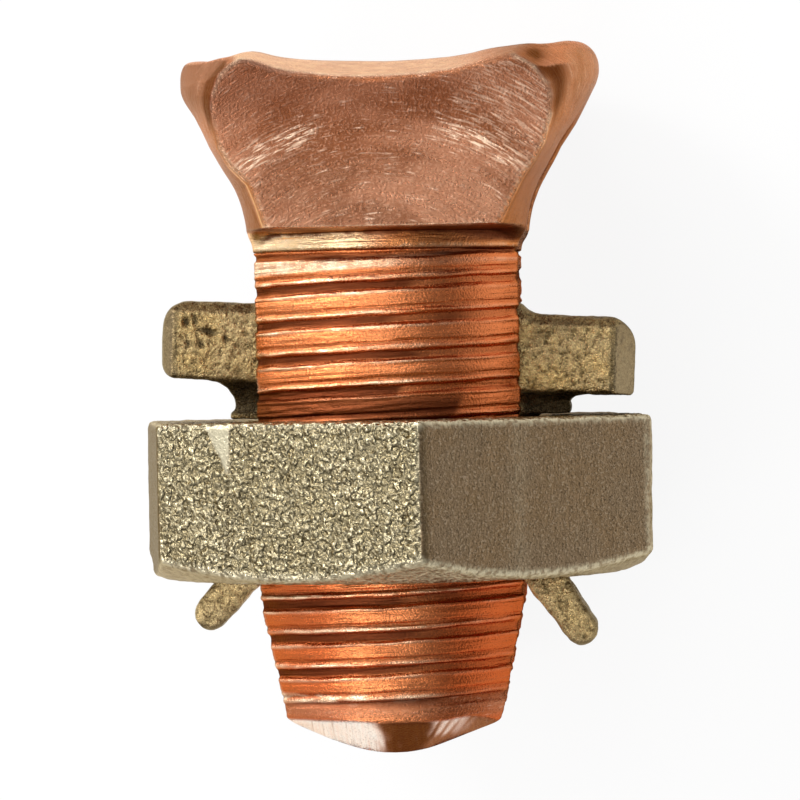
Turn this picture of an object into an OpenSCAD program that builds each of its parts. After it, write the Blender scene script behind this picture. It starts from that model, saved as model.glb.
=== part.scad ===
// Split-bolt cable connector: a slotted bolt, a hex nut and a pressure bar that the nut carries.
// Sizes are in millimetres. The connector lies as it comes to rest on a table:
// +Y runs along the bolt towards its head, +Z is up, and the origin is the middle of the cable seat.
// Each piece is drawn upright first: X along the cable, Z along the bolt, the seat's middle at zero.

/* [Thread] */
// Outside diameter of the bolt's thread
thread_d = 19.05; // [18:0.05:20.5]
// Rise of the thread in one turn
thread_pitch = 2.117; // [1.8:0.001:2.6]
// Depth of the worn thread
thread_depth = 0.45; // [0.35:0.05:0.6]
// Part of the pitch that the flat crest takes
crest_share = 0.5; // [0.4:0.01:0.6]
// Where on the bolt the thread begins, as a turn about its axis
thread_start = 0; // [0:5:355]
// Radial play between the bolt's thread and the nut's
thread_play = 0.16; // [0.12:0.01:0.25]
// Flat steps in one turn of the thread
thread_steps = 48; // [40:4:56]

/* [Shank] */
// Width of the slot
slot_w = 10; // [8.5:0.1:10.6]
// Diameter of the cable seat at the top of the slot, a little over the slot's width
seat_d = 10.1; // [10.05:0.05:10.8]
// Seat's middle to the bolt's lowest point
shank_l = 33.3; // [31:0.1:37]
// Length of the tapered lead
lead_l = 6.7; // [4:0.1:9]
// Diameter at the small end of the lead
lead_d = 16.8; // [15.5:0.1:18]
// Full angle of the pointed end
point_angle = 116; // [100:1:140]

/* [Head] */
// Height of the head's lowest edge above the table that the nut lies on
head_lift = 0; // [0:0.1:1]
// Length along the cable, lip to lip
head_span = 26.3; // [25:0.1:28]
// Seat's middle to the middle of the saddle on top
head_rise = 9; // [8.4:0.1:10.5]
// How far the lips stand above the saddle's middle
lip_rise = 0.9; // [0.5:0.1:1.3]
// Rounding of the lips
lip_r = 1.9; // [1.4:0.1:2.3]
// Slope of the head's sides from the bolt's axis
flare_angle = 30; // [25:1:34]
// Blend from the sides to the neck
flare_r = 6.5; // [4:0.1:7.5]
// Half width of the head where it joins the neck
waist = 9; // [8.7:0.05:9.4]
// Depth radius of the bulged sides, front to back
side_r = 20; // [19:0.5:28]
// Seat's middle down to the lower edge of the flats
flat_foot = 1.3; // [0.8:0.1:1.6]
// Seat's middle down to the end of the neck
neck_foot = 2.6; // [2.3:0.1:3.2]
// Diameter of the neck
neck_d = 19.9; // [19.6:0.1:20.6]
// Slope of the worn facet over each flat
relief_angle = 13; // [10:1:18]
// Hollow radius of that facet
relief_r = 33; // [26:1:60]
// Middle of that facet's lower edge, below the saddle's middle
relief_drop = 1.3; // [0.8:0.1:1.8]
// Rounding of the two cable mouths
mouth_r = 4; // [3:0.1:5]
// Length of the rounded mouth, in from the lip
mouth_l = 3.7; // [2.6:0.1:3.9]

/* [Nut] */
// Distance across the nut's flats
nut_af = 30.16; // [28:0.01:33]
// Height of the nut
nut_h = 9.8; // [9:0.1:12]
// Seat's middle down to the nut's top as shown
nut_down = 12.8; // [11.5:0.1:15]
// Turn of the nut's corner away from the bolt's flat
nut_turn = 7.5; // [0:0.5:20]
// Angle of the chamfer on the lower corners
nut_chamfer = 30; // [20:1:35]
// Diameter of the flat ring under the nut
nut_ring = 28.8; // [26.5:0.1:29.6]
// Diameter of the countersink on top
top_sink = 20.4; // [19.8:0.1:21]
// Diameter of the countersink below, which the prongs splay into
low_sink = 24.6; // [24.4:0.1:26]

/* [Pressure bar] */
// Length over both arms
bar_span = 29.5; // [27:0.1:33]
// Play between the bar and each side of the slot
slot_play = 0.3; // [0.2:0.05:0.5]
// Height of the arms
arm_h = 4.85; // [4:0.05:5.2]
// Nut's top to the underside of the arms
arm_foot = 1.85; // [1.6:0.05:2.4]
// Bevel along the arms' edges
arm_bevel = 0.6; // [0.3:0.05:0.9]
// Rounding of the arms' ends, seen along the bolt
arm_end = 1.4; // [0.6:0.1:2]
// Rounding of the arms' upper ends
arm_r = 1.7; // [0.8:0.1:2]
// Width of the raised middle
crown_w = 15.9; // [13:0.1:18]
// Height of the raised middle above the arms
crown_h = 0.5; // [0.3:0.05:0.6]
// Width of the collar that sits on the nut
collar_w = 21.2; // [20.8:0.1:22.5]
// Blend under the arms
collar_r = 1.4; // [0.8:0.1:1.5]
// Lean of the arms and prongs, cast askew on the collar
bar_lean = 3.3; // [0:0.1:3.6]
// Sideways place of the loose bar
bar_shift = 0.3; // [0:0.05:0.4]
// Gap between the collar and the nut
collar_play = 0.1; // [0.05:0.05:0.2]
// Thickness of the prongs
prong_t = 2.3; // [1.6:0.1:2.4]
// Width of the prongs across the slot
prong_w = 5; // [4:0.1:5.4]
// Reach of the prongs from the bolt's axis
prong_reach = 12.6; // [12:0.1:13.2]
// How far the prongs hang below the nut
prong_drop = 3.65; // [3:0.05:5]

/* [Hidden] */
$fn = 72;

copper = [0.74, 0.42, 0.28];
bronze = [0.56, 0.50, 0.36];

// The nut lies on one of its flats
rest_roll = 30 - nut_turn;

thread_r = thread_d / 2;
flank_share = thread_depth * tan(30) / thread_pitch;
// One pitch of the thread as pairs of rise share and depth share
thread_form = [[0, 0], [crest_share, 0], [crest_share + flank_share, 1], [1 - flank_share, 1]];

// The flats are as far apart as lets the head's edge and the nut's flat rest on the same table
rest_z = nut_af / 2 - head_lift;
rest_x = head_span / 2 * sin(rest_roll);
rest_k = pow(cos(rest_roll), 2) + pow(rest_x / side_r, 2);
rest_root = pow(rest_z * cos(rest_roll), 2) - rest_k * (pow(rest_z, 2) - pow(rest_x, 2));
flat_y = (rest_z * cos(rest_roll) - sqrt(rest_root)) / rest_k;
lip_x = head_span / 2 - lip_r;
lip_z = head_rise + lip_rise + 0.1 - lip_r;
// Where the side's straight slope leaves the lip, and where it would meet the waist
slope_x = lip_x + lip_r * cos(flare_angle);
slope_z = lip_z - lip_r * sin(flare_angle);
waist_z = slope_z - (slope_x - waist) / tan(flare_angle);
blend = flare_r * tan(flare_angle / 2);
saddle_r = (pow(lip_x, 2) + pow(lip_rise, 2)) / (2 * lip_rise);
mouth_x = head_span / 2 - mouth_l;

bar_t = slot_w - 2 * slot_play;
nut_mid = nut_down + nut_h / 2;
nut_bore_r = thread_r - thread_depth + thread_play;
leg_x = nut_bore_r - prong_t / 2 - 1.4;

module upright_to_rest() {
  rotate([0, rest_roll, 0]) rotate([-90, 0, 0]) children();
}

// Limit of the thread's radius at a height: full, then the tapered lead
function lead_r(z) =
  let (low = -(shank_l - 2.5), t = (z - low) / lead_l)
    t >= 1 ? thread_r : lead_d / 2 + (thread_r - lead_d / 2) * t;

// A screw body from below low to above high, with its radius grown by play
module screw_body(low, high, play, tapered) {
  first = floor(low / thread_pitch) - 1;
  turns = ceil((high - low) / thread_pitch) + 2;
  rows = 4 * turns + 1;
  n = thread_steps;
  points = [
    for (m = [0:n - 1], s = [0:rows - 1])
      let (
        form = thread_form[s % 4],
        a = 360 * m / n,
        z = thread_pitch * (first + m / n + floor(s / 4) + form[0]),
        r = (tapered ? lead_r(z) : thread_r) - thread_depth * form[1] + play
      )
        [r * cos(a + thread_start), r * sin(a + thread_start), z]
  ];
  bottom = n * rows;
  top = bottom + 1;
  ends = [[0, 0, thread_pitch * first], [0, 0, thread_pitch * (first + turns + 1)]];
  faces = [
    for (m = [0:n - 2], s = [0:rows - 2]) each [
      [m * rows + s, m * rows + s + 1, (m + 1) * rows + s + 1],
      [m * rows + s, (m + 1) * rows + s + 1, (m + 1) * rows + s]
    ],
    for (s = [0:rows - 6]) each [
      [(n - 1) * rows + s, (n - 1) * rows + s + 1, s + 5],
      [(n - 1) * rows + s, s + 5, s + 4]
    ],
    for (m = [0:n - 2]) [bottom, m * rows, (m + 1) * rows],
    [bottom, (n - 1) * rows, 4],
    for (s = [0:3]) [bottom, s + 1, s],
    for (m = [0:n - 2]) [top, (m + 1) * rows + rows - 1, m * rows + rows - 1],
    [top, rows - 1, n * rows - 5],
    for (s = [1:4]) [top, n * rows - s - 1, n * rows - s]
  ];
  polyhedron(points = concat(points, ends), faces = faces);
}

// Half width of the head at a height, on the bolt's middle plane
function head_x(z) =
  z > slope_z ? lip_x + sqrt(max(0, pow(lip_r, 2) - pow(z - lip_z, 2)))
  : z > waist_z + blend * cos(flare_angle) ? slope_x - (slope_z - z) * tan(flare_angle)
  : z > waist_z - blend ? waist + flare_r - sqrt(pow(flare_r, 2) - pow(z - waist_z + blend, 2))
  : waist;

// Outline of the head at a height: bulged sides between two flats
sides = 8;
faces_n = 8;
function head_ring(z) =
  let (w = head_x(z), e = w * sqrt(1 - pow(flat_y / side_r, 2)))
    concat(
      [for (i = [0:sides]) let (y = flat_y * (2 * i / sides - 1)) [w * sqrt(1 - pow(y / side_r, 2)), y]],
      [for (i = [1:faces_n - 1]) [e * (1 - 2 * i / faces_n), flat_y]],
      [for (i = [0:sides]) let (y = flat_y * (1 - 2 * i / sides)) [-w * sqrt(1 - pow(y / side_r, 2)), y]],
      [for (i = [1:faces_n - 1]) [-e * (1 - 2 * i / faces_n), -flat_y]]
    );

// The same outline drawn in towards the round neck, by a share from 0 (neck) to 1 (head)
function neck_ring(share) =
  [for (p = head_ring(-flat_foot)) let (r = norm(p)) p * (neck_d / 2 + (r - neck_d / 2) * share) / r];

module head_blank() {
  ledge = flat_foot + 0.06;
  drop = neck_foot - ledge;
  neck_at = concat([neck_foot], [for (a = [20:10:80]) neck_foot - drop * (0.3 + 0.7 * sin(a))]);
  neck_share = concat([0], [for (a = [20:10:80]) 0.96 * (1 - cos(a))]);
  body_at = concat(
    [-flat_foot],
    [for (i = [1:10]) -flat_foot + (slope_z + flat_foot) * i / 10],
    [for (a = [-flare_angle + 15:15:75]) lip_z + lip_r * sin(a)],
    [lip_z + lip_r * sin(86)]
  );
  rings = concat(
    [for (i = [0:len(neck_at) - 1]) [for (p = neck_ring(neck_share[i])) [p[0], p[1], -neck_at[i]]]],
    [for (z = body_at) [for (p = head_ring(z)) [p[0], p[1], z]]]
  );
  n = len(rings[0]);
  k = len(rings);
  flat_points = [for (r = rings) each r];
  ends = [[0, 0, rings[0][0][2]], [0, 0, rings[k - 1][0][2]]];
  polyhedron(
    points = concat(flat_points, ends),
    faces = [
      for (j = [0:k - 2], i = [0:n - 1]) each [
        [j * n + i, (j + 1) * n + i, (j + 1) * n + (i + 1) % n],
        [j * n + i, (j + 1) * n + (i + 1) % n, j * n + (i + 1) % n]
      ],
      for (i = [0:n - 1]) [k * n, i, (i + 1) % n],
      for (i = [0:n - 1]) [k * n + 1, (k - 1) * n + (i + 1) % n, (k - 1) * n + i]
    ]
  );
}

// What is taken off the head's top: the saddle, and a hollow facet over each flat
module head_top_cuts() {
  translate([0, 0, head_rise + saddle_r]) rotate([90, 0, 0])
    cylinder(r = saddle_r, h = 4 * flat_y, center = true);
  for (turn = [0, 180]) rotate([0, 0, turn])
    translate([0, -flat_y, head_rise - relief_drop]) rotate([relief_angle, 0, 0])
      translate([0, 0, relief_r]) rotate([90, 0, 0])
        cylinder(r = relief_r, h = 4 * flat_y, center = true);
}

// The slot with the round cable seat at its top and a rounded mouth at each end
module slot_cut() {
  flare = mouth_l + 0.2;
  translate([-head_span, -slot_w / 2, -2 * shank_l]) cube([2 * head_span, slot_w, 2 * shank_l]);
  rotate([0, 90, 0]) cylinder(d = seat_d, h = 2 * head_span, center = true);
  for (turn = [0, 180]) rotate([0, 0, turn]) rotate([0, 90, 0])
    rotate_extrude() polygon(concat(
      [[0, mouth_x - 1], [seat_d / 2 - 0.4, mouth_x - 1]],
      [for (i = [0:6]) let (d = mouth_r * sin(i * asin(min(0.98, flare / mouth_r)) / 6))
        [seat_d / 2 + 0.01 + mouth_r - sqrt(pow(mouth_r, 2) - pow(d, 2)), mouth_x + d]],
      [[0, mouth_x + flare]]
    ));
}

// All that lies above the pointed end
module point_limit() {
  half = point_angle / 2;
  tip = -shank_l - slot_w / 2 / tan(half);
  wide = thread_d;
  rotate_extrude() polygon([[0, tip], [wide, tip + wide / tan(half)], [wide, 0], [0, 0]]);
}

module split_bolt_upright() {
  difference() {
    union() {
      intersection() {
        screw_body(-shank_l - 4, -1, 0, true);
        point_limit();
      }
      head_blank();
    }
    head_top_cuts();
    slot_cut();
  }
}

module hex_nut_upright() {
  half = nut_af / 2 / cos(30);
  rise = (half - nut_ring / 2) * tan(nut_chamfer);
  low = -nut_down - nut_h;
  difference() {
    intersection() {
      translate([0, 0, low]) rotate([0, 0, nut_turn - 30]) cylinder(r = half, h = nut_h, $fn = 6);
      translate([0, 0, low]) rotate_extrude() polygon([
        [0, -0.01], [nut_ring / 2, -0.01], [half + 0.3, rise + 0.3 * tan(nut_chamfer)],
        [half + 0.3, nut_h + 1], [0, nut_h + 1]
      ]);
    }
    screw_body(low - 1, -nut_down + 1, thread_play, false);
    translate([0, 0, -nut_down - (top_sink - thread_d) / 2])
      cylinder(r1 = thread_r - 0.05, r2 = top_sink / 2 + 0.95, h = (top_sink - thread_d) / 2 + 1);
    translate([0, 0, low - 1])
      cylinder(r1 = low_sink / 2 + 1, r2 = nut_bore_r - 0.2, h = low_sink / 2 + 1.2 - nut_bore_r);
  }
}

// Right half of the bar's front outline, from the collar's foot up to the raised middle
function bar_side() =
  let (
    foot = -nut_down - 1.6,
    arm_low = -nut_down + arm_foot,
    arm_top = arm_low + arm_h,
    end = bar_span / 2,
    cw = collar_w / 2,
    kw = crown_w / 2
  )
    concat(
      [[cw, foot]],
      [for (a = [0:15:90]) [cw + collar_r * (1 - cos(a)), arm_low - collar_r * (1 - sin(a))]],
      [[end, arm_low]],
      [for (a = [0:15:90]) [end - arm_r * (1 - cos(a)), arm_top - arm_r * (1 - sin(a))]],
      [[kw + crown_h, arm_top], [kw, arm_top + crown_h]]
    );

module bar_body() {
  side = bar_side();
  foot = side[0][1];
  arm_low = -nut_down + arm_foot;
  arm_top = arm_low + arm_h;
  top = arm_top + crown_h;
  t = bar_t / 2;
  b = arm_bevel;
  intersection() {
    rotate([90, 0, 0]) linear_extrude(height = 2 * bar_t, center = true)
      polygon(concat(side, [for (i = [len(side) - 1:-1:0]) [-side[i][0], side[i][1]]]));
    rotate([90, 0, 90]) linear_extrude(height = 2 * bar_span, center = true)
      polygon([
        [t - b, foot - 1], [t - b, arm_low], [t, arm_low + b],
        [t, arm_top - b], [t - b, arm_top], [t - b, top + 1],
        [b - t, top + 1], [b - t, arm_top], [-t, arm_top - b],
        [-t, arm_low + b], [b - t, arm_low], [b - t, foot - 1]
      ]);
    translate([0, 0, foot - 1]) linear_extrude(height = top - foot + 2)
      let (e = bar_span / 2, c = arm_end) polygon([
        [e, c - t], [e, t - c], [e - c / 2, t - c / 4], [e - c, t + 0.1],
        [c - e, t + 0.1], [c / 2 - e, t - c / 4], [-e, t - c], [-e, c - t],
        [c / 2 - e, c / 4 - t], [c - e, -t - 0.1], [e - c, -t - 0.1], [e - c / 2, c / 4 - t]
      ]);
  }
}

// One prong: a strip that follows a centre line down the bore and out under the nut, with a round end
module prong() {
  r = prong_t / 2;
  tip = [prong_reach - r, -nut_down - nut_h - prong_drop + r];
  lip = [tip[0] - 2.05, -nut_down - nut_h];
  line = [[leg_x, -nut_down + arm_foot], [leg_x, lip[1] + 3.6], [leg_x + 0.95, lip[1] + 1.8], lip, tip];
  function heading(i) = let (d = line[min(i + 1, 4)] - line[max(i - 1, 0)]) d / norm(d);
  left = [for (i = [0:4]) line[i] + r * [-heading(i)[1], heading(i)[0]]];
  right = [for (i = [0:4]) line[i] - r * [-heading(i)[1], heading(i)[0]]];
  last = tip - lip;
  a0 = atan2(last[1], last[0]);
  cap = [for (a = [75:-15:-75]) tip + r * [cos(a0 + a), sin(a0 + a)]];
  rotate([90, 0, 0]) linear_extrude(height = prong_w, center = true)
    polygon(concat(left, cap, [for (i = [4:-1:0]) right[i]]));
}

module leaning() {
  translate([0, 0, -nut_mid]) rotate([0, bar_lean, 0]) translate([0, 0, nut_mid]) children();
}

module pressure_bar_upright() {
  translate([bar_shift, 0, 0]) {
    intersection() {
      leaning() bar_body();
      translate([-bar_span, -bar_span, collar_play - nut_down]) cube(2 * bar_span);
    }
    leaning() {
      prong();
      mirror([1, 0, 0]) prong();
    }
  }
}

module split_bolt() {
  color(copper) upright_to_rest() split_bolt_upright();
}

module hex_nut() {
  color(bronze) upright_to_rest() hex_nut_upright();
}

module pressure_bar() {
  color(bronze) upright_to_rest() pressure_bar_upright();
}

split_bolt();
hex_nut();
pressure_bar();
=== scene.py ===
import math

import bpy
import numpy as np
from mathutils import Matrix, Vector

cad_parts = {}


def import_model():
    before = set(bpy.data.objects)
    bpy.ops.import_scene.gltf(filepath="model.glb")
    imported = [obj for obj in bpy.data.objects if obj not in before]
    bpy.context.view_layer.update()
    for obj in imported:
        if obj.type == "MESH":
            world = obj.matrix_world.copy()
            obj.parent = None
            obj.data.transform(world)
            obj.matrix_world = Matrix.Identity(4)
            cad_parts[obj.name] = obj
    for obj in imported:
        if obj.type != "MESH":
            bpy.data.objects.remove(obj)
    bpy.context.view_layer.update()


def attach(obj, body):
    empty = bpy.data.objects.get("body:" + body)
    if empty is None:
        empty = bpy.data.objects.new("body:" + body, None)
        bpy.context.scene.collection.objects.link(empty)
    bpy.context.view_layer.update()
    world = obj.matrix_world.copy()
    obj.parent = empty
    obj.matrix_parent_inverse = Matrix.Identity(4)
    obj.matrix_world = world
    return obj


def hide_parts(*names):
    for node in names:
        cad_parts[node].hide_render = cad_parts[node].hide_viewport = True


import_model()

# Sizes in millimetres, in the part's upright frame: X along the cable, Z along the bolt,
# the front flat towards -Y, the middle of the cable seat at zero
MM = 0.001
ROLL = math.radians(22.5)
SLOT_HALF = 5.0
SEAT_R = 5.05
TINY = 1e-6

# Thread and legs: the thread is worn, so it is shallower than the solid's
PITCH, THREAD_R, LEG_R, DEPTH, PLAY = 2.117, 9.525, 9.6, 0.26, 0.16
SHANK, LEAD_L, LEAD_R, POINT = 33.3, 6.7, 8.4, math.radians(58)
ROOT_START = 0.03
THREAD_END, THREAD_TOP = (-30.6, -29.8), (-3.7, -3.3)
MM_PER_RADIAN = 9

# Head
FLAT_Y, FLAT_FOOT, HEAD_RISE = 11.956, 1.3, 9.0
LIP_X, LIP_Z, LIP_R, LIP_RISE = 11.25, 8.1, 1.9, 0.9
LIP_FOOT = LIP_Z - LIP_R * 0.5
WAIST, FLARE, FLARE_R = 9.0, math.radians(30), 6.5
NECK_R, NECK_FOOT = 9.7, 2.6
RELIEF_R, RELIEF_DROP, RELIEF_LEAN = 33.0, 1.3, math.radians(13)
MOUTH_X, MOUTH_L, MOUTH_R = 9.45, 3.95, 4.0
SWEEP_LOW = 9

# Nut, which lies on one of its flats
NUT_TOP, NUT_LOW, NUT_HALF = -12.8, -22.6, 15.08
NUT_MID = -17.7
NUT_CORNER = NUT_HALF * math.tan(math.radians(30))
NUT_RING, NUT_SLOPE = 14.3, math.radians(24)
TOP_SINK, LOW_SINK = 10.2, 12.3
FLOOR = -NUT_HALF

# Pressure bar
BAR_LEAN, BAR_SHIFT, BAR_HALF = math.radians(3.3), 0.3, 4.7
ARM_LOW, ARM_HIGH = -10.95, -6.1


def to_row(p):
    """Upright millimetres to metres in the row frame."""
    c, s = math.cos(ROLL), math.sin(ROLL)
    x, y, z = p[:, 0], p[:, 1], p[:, 2]
    return np.stack([x * c - y * s, z, -x * s - y * c], 1) * MM


# Noise and blending
def hashed(i, j, k, seed):
    """A number from 0 to 1 for each cell, always the same for one cell and seed."""
    h = (i * 374761393 + j * 668265263 + k * 1440662683 + seed * 1274126177) & 0xFFFFFFFF
    h = ((h ^ (h >> 13)) * 1274126177) & 0xFFFFFFFF
    return ((h ^ (h >> 16)) & 0xFFFFFF) / 0xFFFFFF


def noise(p, size, seed=0):
    """Smooth noise from -1 to 1, with features of that size, on a grid that lies along no face."""
    turn = np.array([[0.36, 0.48, -0.8], [-0.8, 0.6, 0.0], [0.48, 0.64, 0.6]])
    q = p @ turn.T / size
    b = np.floor(q).astype(np.int64)
    f = q - b
    f = f * f * f * (f * (f * 6 - 15) + 10)
    out = np.zeros(len(p))
    for dx in (0, 1):
        wx = f[:, 0] if dx else 1 - f[:, 0]
        for dy in (0, 1):
            wy = wx * (f[:, 1] if dy else 1 - f[:, 1])
            for dz in (0, 1):
                w = wy * (f[:, 2] if dz else 1 - f[:, 2])
                out += w * hashed(b[:, 0] + dx, b[:, 1] + dy, b[:, 2] + dz, seed)
    return 2 * out - 1


def pits(p, size, seed=0):
    """1 at the middle of scattered round pits, 0 between them."""
    q = p / size
    b = np.floor(q).astype(np.int64)
    best = np.full(len(p), 9.0)
    for dx in (-1, 0, 1):
        for dy in (-1, 0, 1):
            for dz in (-1, 0, 1):
                c = b + np.array([dx, dy, dz])
                at = np.stack([hashed(c[:, 0], c[:, 1], c[:, 2], seed + s) for s in range(3)], 1)
                wide = 0.25 + 0.55 * hashed(c[:, 0], c[:, 1], c[:, 2], seed + 7)
                d = np.sqrt(((c + at - q) ** 2).sum(1)) / wide
                best = np.minimum(best, d)
    t = np.clip(1 - best, 0, 1)
    return t * t * (3 - 2 * t)


def ease(x, lo, hi):
    """A smooth rise from 0 at lo to 1 at hi."""
    t = np.clip((x - lo) / (hi - lo), 0, 1)
    return t * t * (3 - 2 * t)


def peak(x, middle, width, power=2):
    """1 at the middle, falling to 0 on both sides; a higher power is flatter with steeper sides."""
    return np.exp(-(((x - middle) / width) ** power))


def smax(a, b, k):
    """The larger of two distances, with a round blend of width k."""
    h = np.maximum(k - np.abs(a - b), 0) / k
    return np.maximum(a, b) + h * h * k * 0.25


def smin(a, b, k):
    return -smax(-a, -b, k)


# The thread: depth over one pitch, from the middle of one root towards the point
FORM = [
    (0.00, 1.0), (0.07, 1.0), (0.12, 0.75), (0.17, 0.25), (0.21, 0.0), (0.27, 0.25), (0.33, 0.16),
    (0.42, 0.04), (0.52, 0.12), (0.58, 0.06), (0.63, 0.45), (0.67, 0.55), (0.71, 0.4), (0.76, 0.08),
    (0.80, 0.0), (0.84, 0.12), (0.88, 0.65), (0.91, 0.97), (0.95, 1.0), (1.0, 1.0),
]
FORM_STEPS, FORM_REACH, FORM_BLUR = 1024, 40, 8.0
form_at = np.arange(FORM_STEPS) / FORM_STEPS
form_depth = np.interp(form_at, [f[0] for f in FORM], [f[1] for f in FORM])
form_depth = np.concatenate([form_depth[-FORM_REACH:], form_depth, form_depth[:FORM_REACH]])
kernel = np.exp(-0.5 * (np.arange(-FORM_REACH, FORM_REACH + 1) / FORM_BLUR) ** 2)
form_depth = np.convolve(form_depth, kernel / kernel.sum(), "valid")


def root_phase(angle, z):
    """0 in the middle of one groove of the thread, rising to 1 at the next groove below it."""
    return (ROOT_START - z / PITCH + angle / (2 * math.pi)) % 1


def thread_depth(phase):
    return np.interp(phase % 1, np.append(form_at, 1.0), np.append(form_depth, form_depth[0]))


# Dense surfaces of solids that are given as signed distances
def surface(f, lo, hi, step):
    """Points and quads of the surface where f is zero, found on a grid with that step."""
    lo = np.array(lo, float)
    n = np.ceil((np.array(hi, float) - lo) / step).astype(int) + 1
    axes = [lo[i] + step * np.arange(n[i]) for i in range(3)]
    v = np.empty(n)
    gy, gz = np.meshgrid(axes[1], axes[2], indexing="ij")
    for i, x in enumerate(axes[0]):
        v[i] = f(np.stack([np.full(gy.size, x), gy.ravel(), gz.ravel()], 1)).reshape(gy.shape)
    inside = v < 0
    cells = n - 1
    where, crossing, quads = [], [], []
    # One quad for each grid edge that the surface crosses, between the four cells around it
    for a in range(3):
        b, c = (a + 1) % 3, (a + 2) % 3
        first, second = [slice(None)] * 3, [slice(None)] * 3
        first[a], second[a] = slice(0, -1), slice(1, None)
        e = np.argwhere(inside[tuple(first)] != inside[tuple(second)])
        e = e[(e[:, b] > 0) & (e[:, c] > 0) & (e[:, b] < cells[b]) & (e[:, c] < cells[c])]
        e1 = e.copy()
        e1[:, a] += 1
        v0, v1 = v[tuple(e.T)], v[tuple(e1.T)]
        p = lo + step * e
        p[:, a] += step * v0 / (v0 - v1)
        around = []
        for db, dc in ((0, 0), (-1, 0), (-1, -1), (0, -1)):
            q = e.copy()
            q[:, b] += db
            q[:, c] += dc
            cell = np.ravel_multi_index(tuple(q.T), tuple(cells))
            where.append(cell)
            crossing.append(p)
            around.append(cell)
        quad = np.stack(around, 1)
        back = v0 >= 0
        quad[back] = quad[back][:, ::-1]
        quads.append(quad)
    where, crossing = np.concatenate(where), np.concatenate(crossing)
    used, index = np.unique(where, return_inverse=True)
    count = np.bincount(index)
    points = np.stack([np.bincount(index, crossing[:, i]) / count for i in range(3)], 1)
    faces = np.searchsorted(used, np.concatenate(quads))
    # Each point then moves onto the surface itself, in small steps
    for _ in range(4):
        g = gradient(f, points)
        move = (f(points) / np.maximum((g * g).sum(1), 0.05))[:, None] * g
        far = np.linalg.norm(move, axis=1) / (0.4 * step)
        points = points - move / np.maximum(far, 1)[:, None]
    return points, faces


def gradient(f, p, h=0.02):
    out = np.empty_like(p)
    for a in range(3):
        d = np.zeros(3)
        d[a] = h
        out[:, a] = (f(p + d) - f(p - d)) / (2 * h)
    return out


def outward(f, p):
    """Unit normals of the surface."""
    n = gradient(f, p)
    return n / np.linalg.norm(n, axis=1, keepdims=True)


def links(faces):
    e = np.concatenate([faces[:, [i, (i + 1) % 4]] for i in range(4)])
    return np.concatenate([e, e[:, ::-1]])


def neighbours_mean(values, e, n):
    total = np.stack([np.bincount(e[:, 0], values[e[:, 1], i], n) for i in range(values.shape[1])], 1)
    return total / np.maximum(np.bincount(e[:, 0], minlength=n), 1)[:, None]


def bulge(points, normals, faces, step, blur):
    """How sharply the surface bends outwards, about 1 on a worn edge and below 0 in a corner."""
    e = links(faces)
    n = len(points)
    b = ((points - neighbours_mean(points, e, n)) * normals).sum(1, keepdims=True) / step
    for _ in range(blur):
        b = 0.4 * b + 0.6 * neighbours_mean(b, e, n)
    return b[:, 0] * 12


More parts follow.
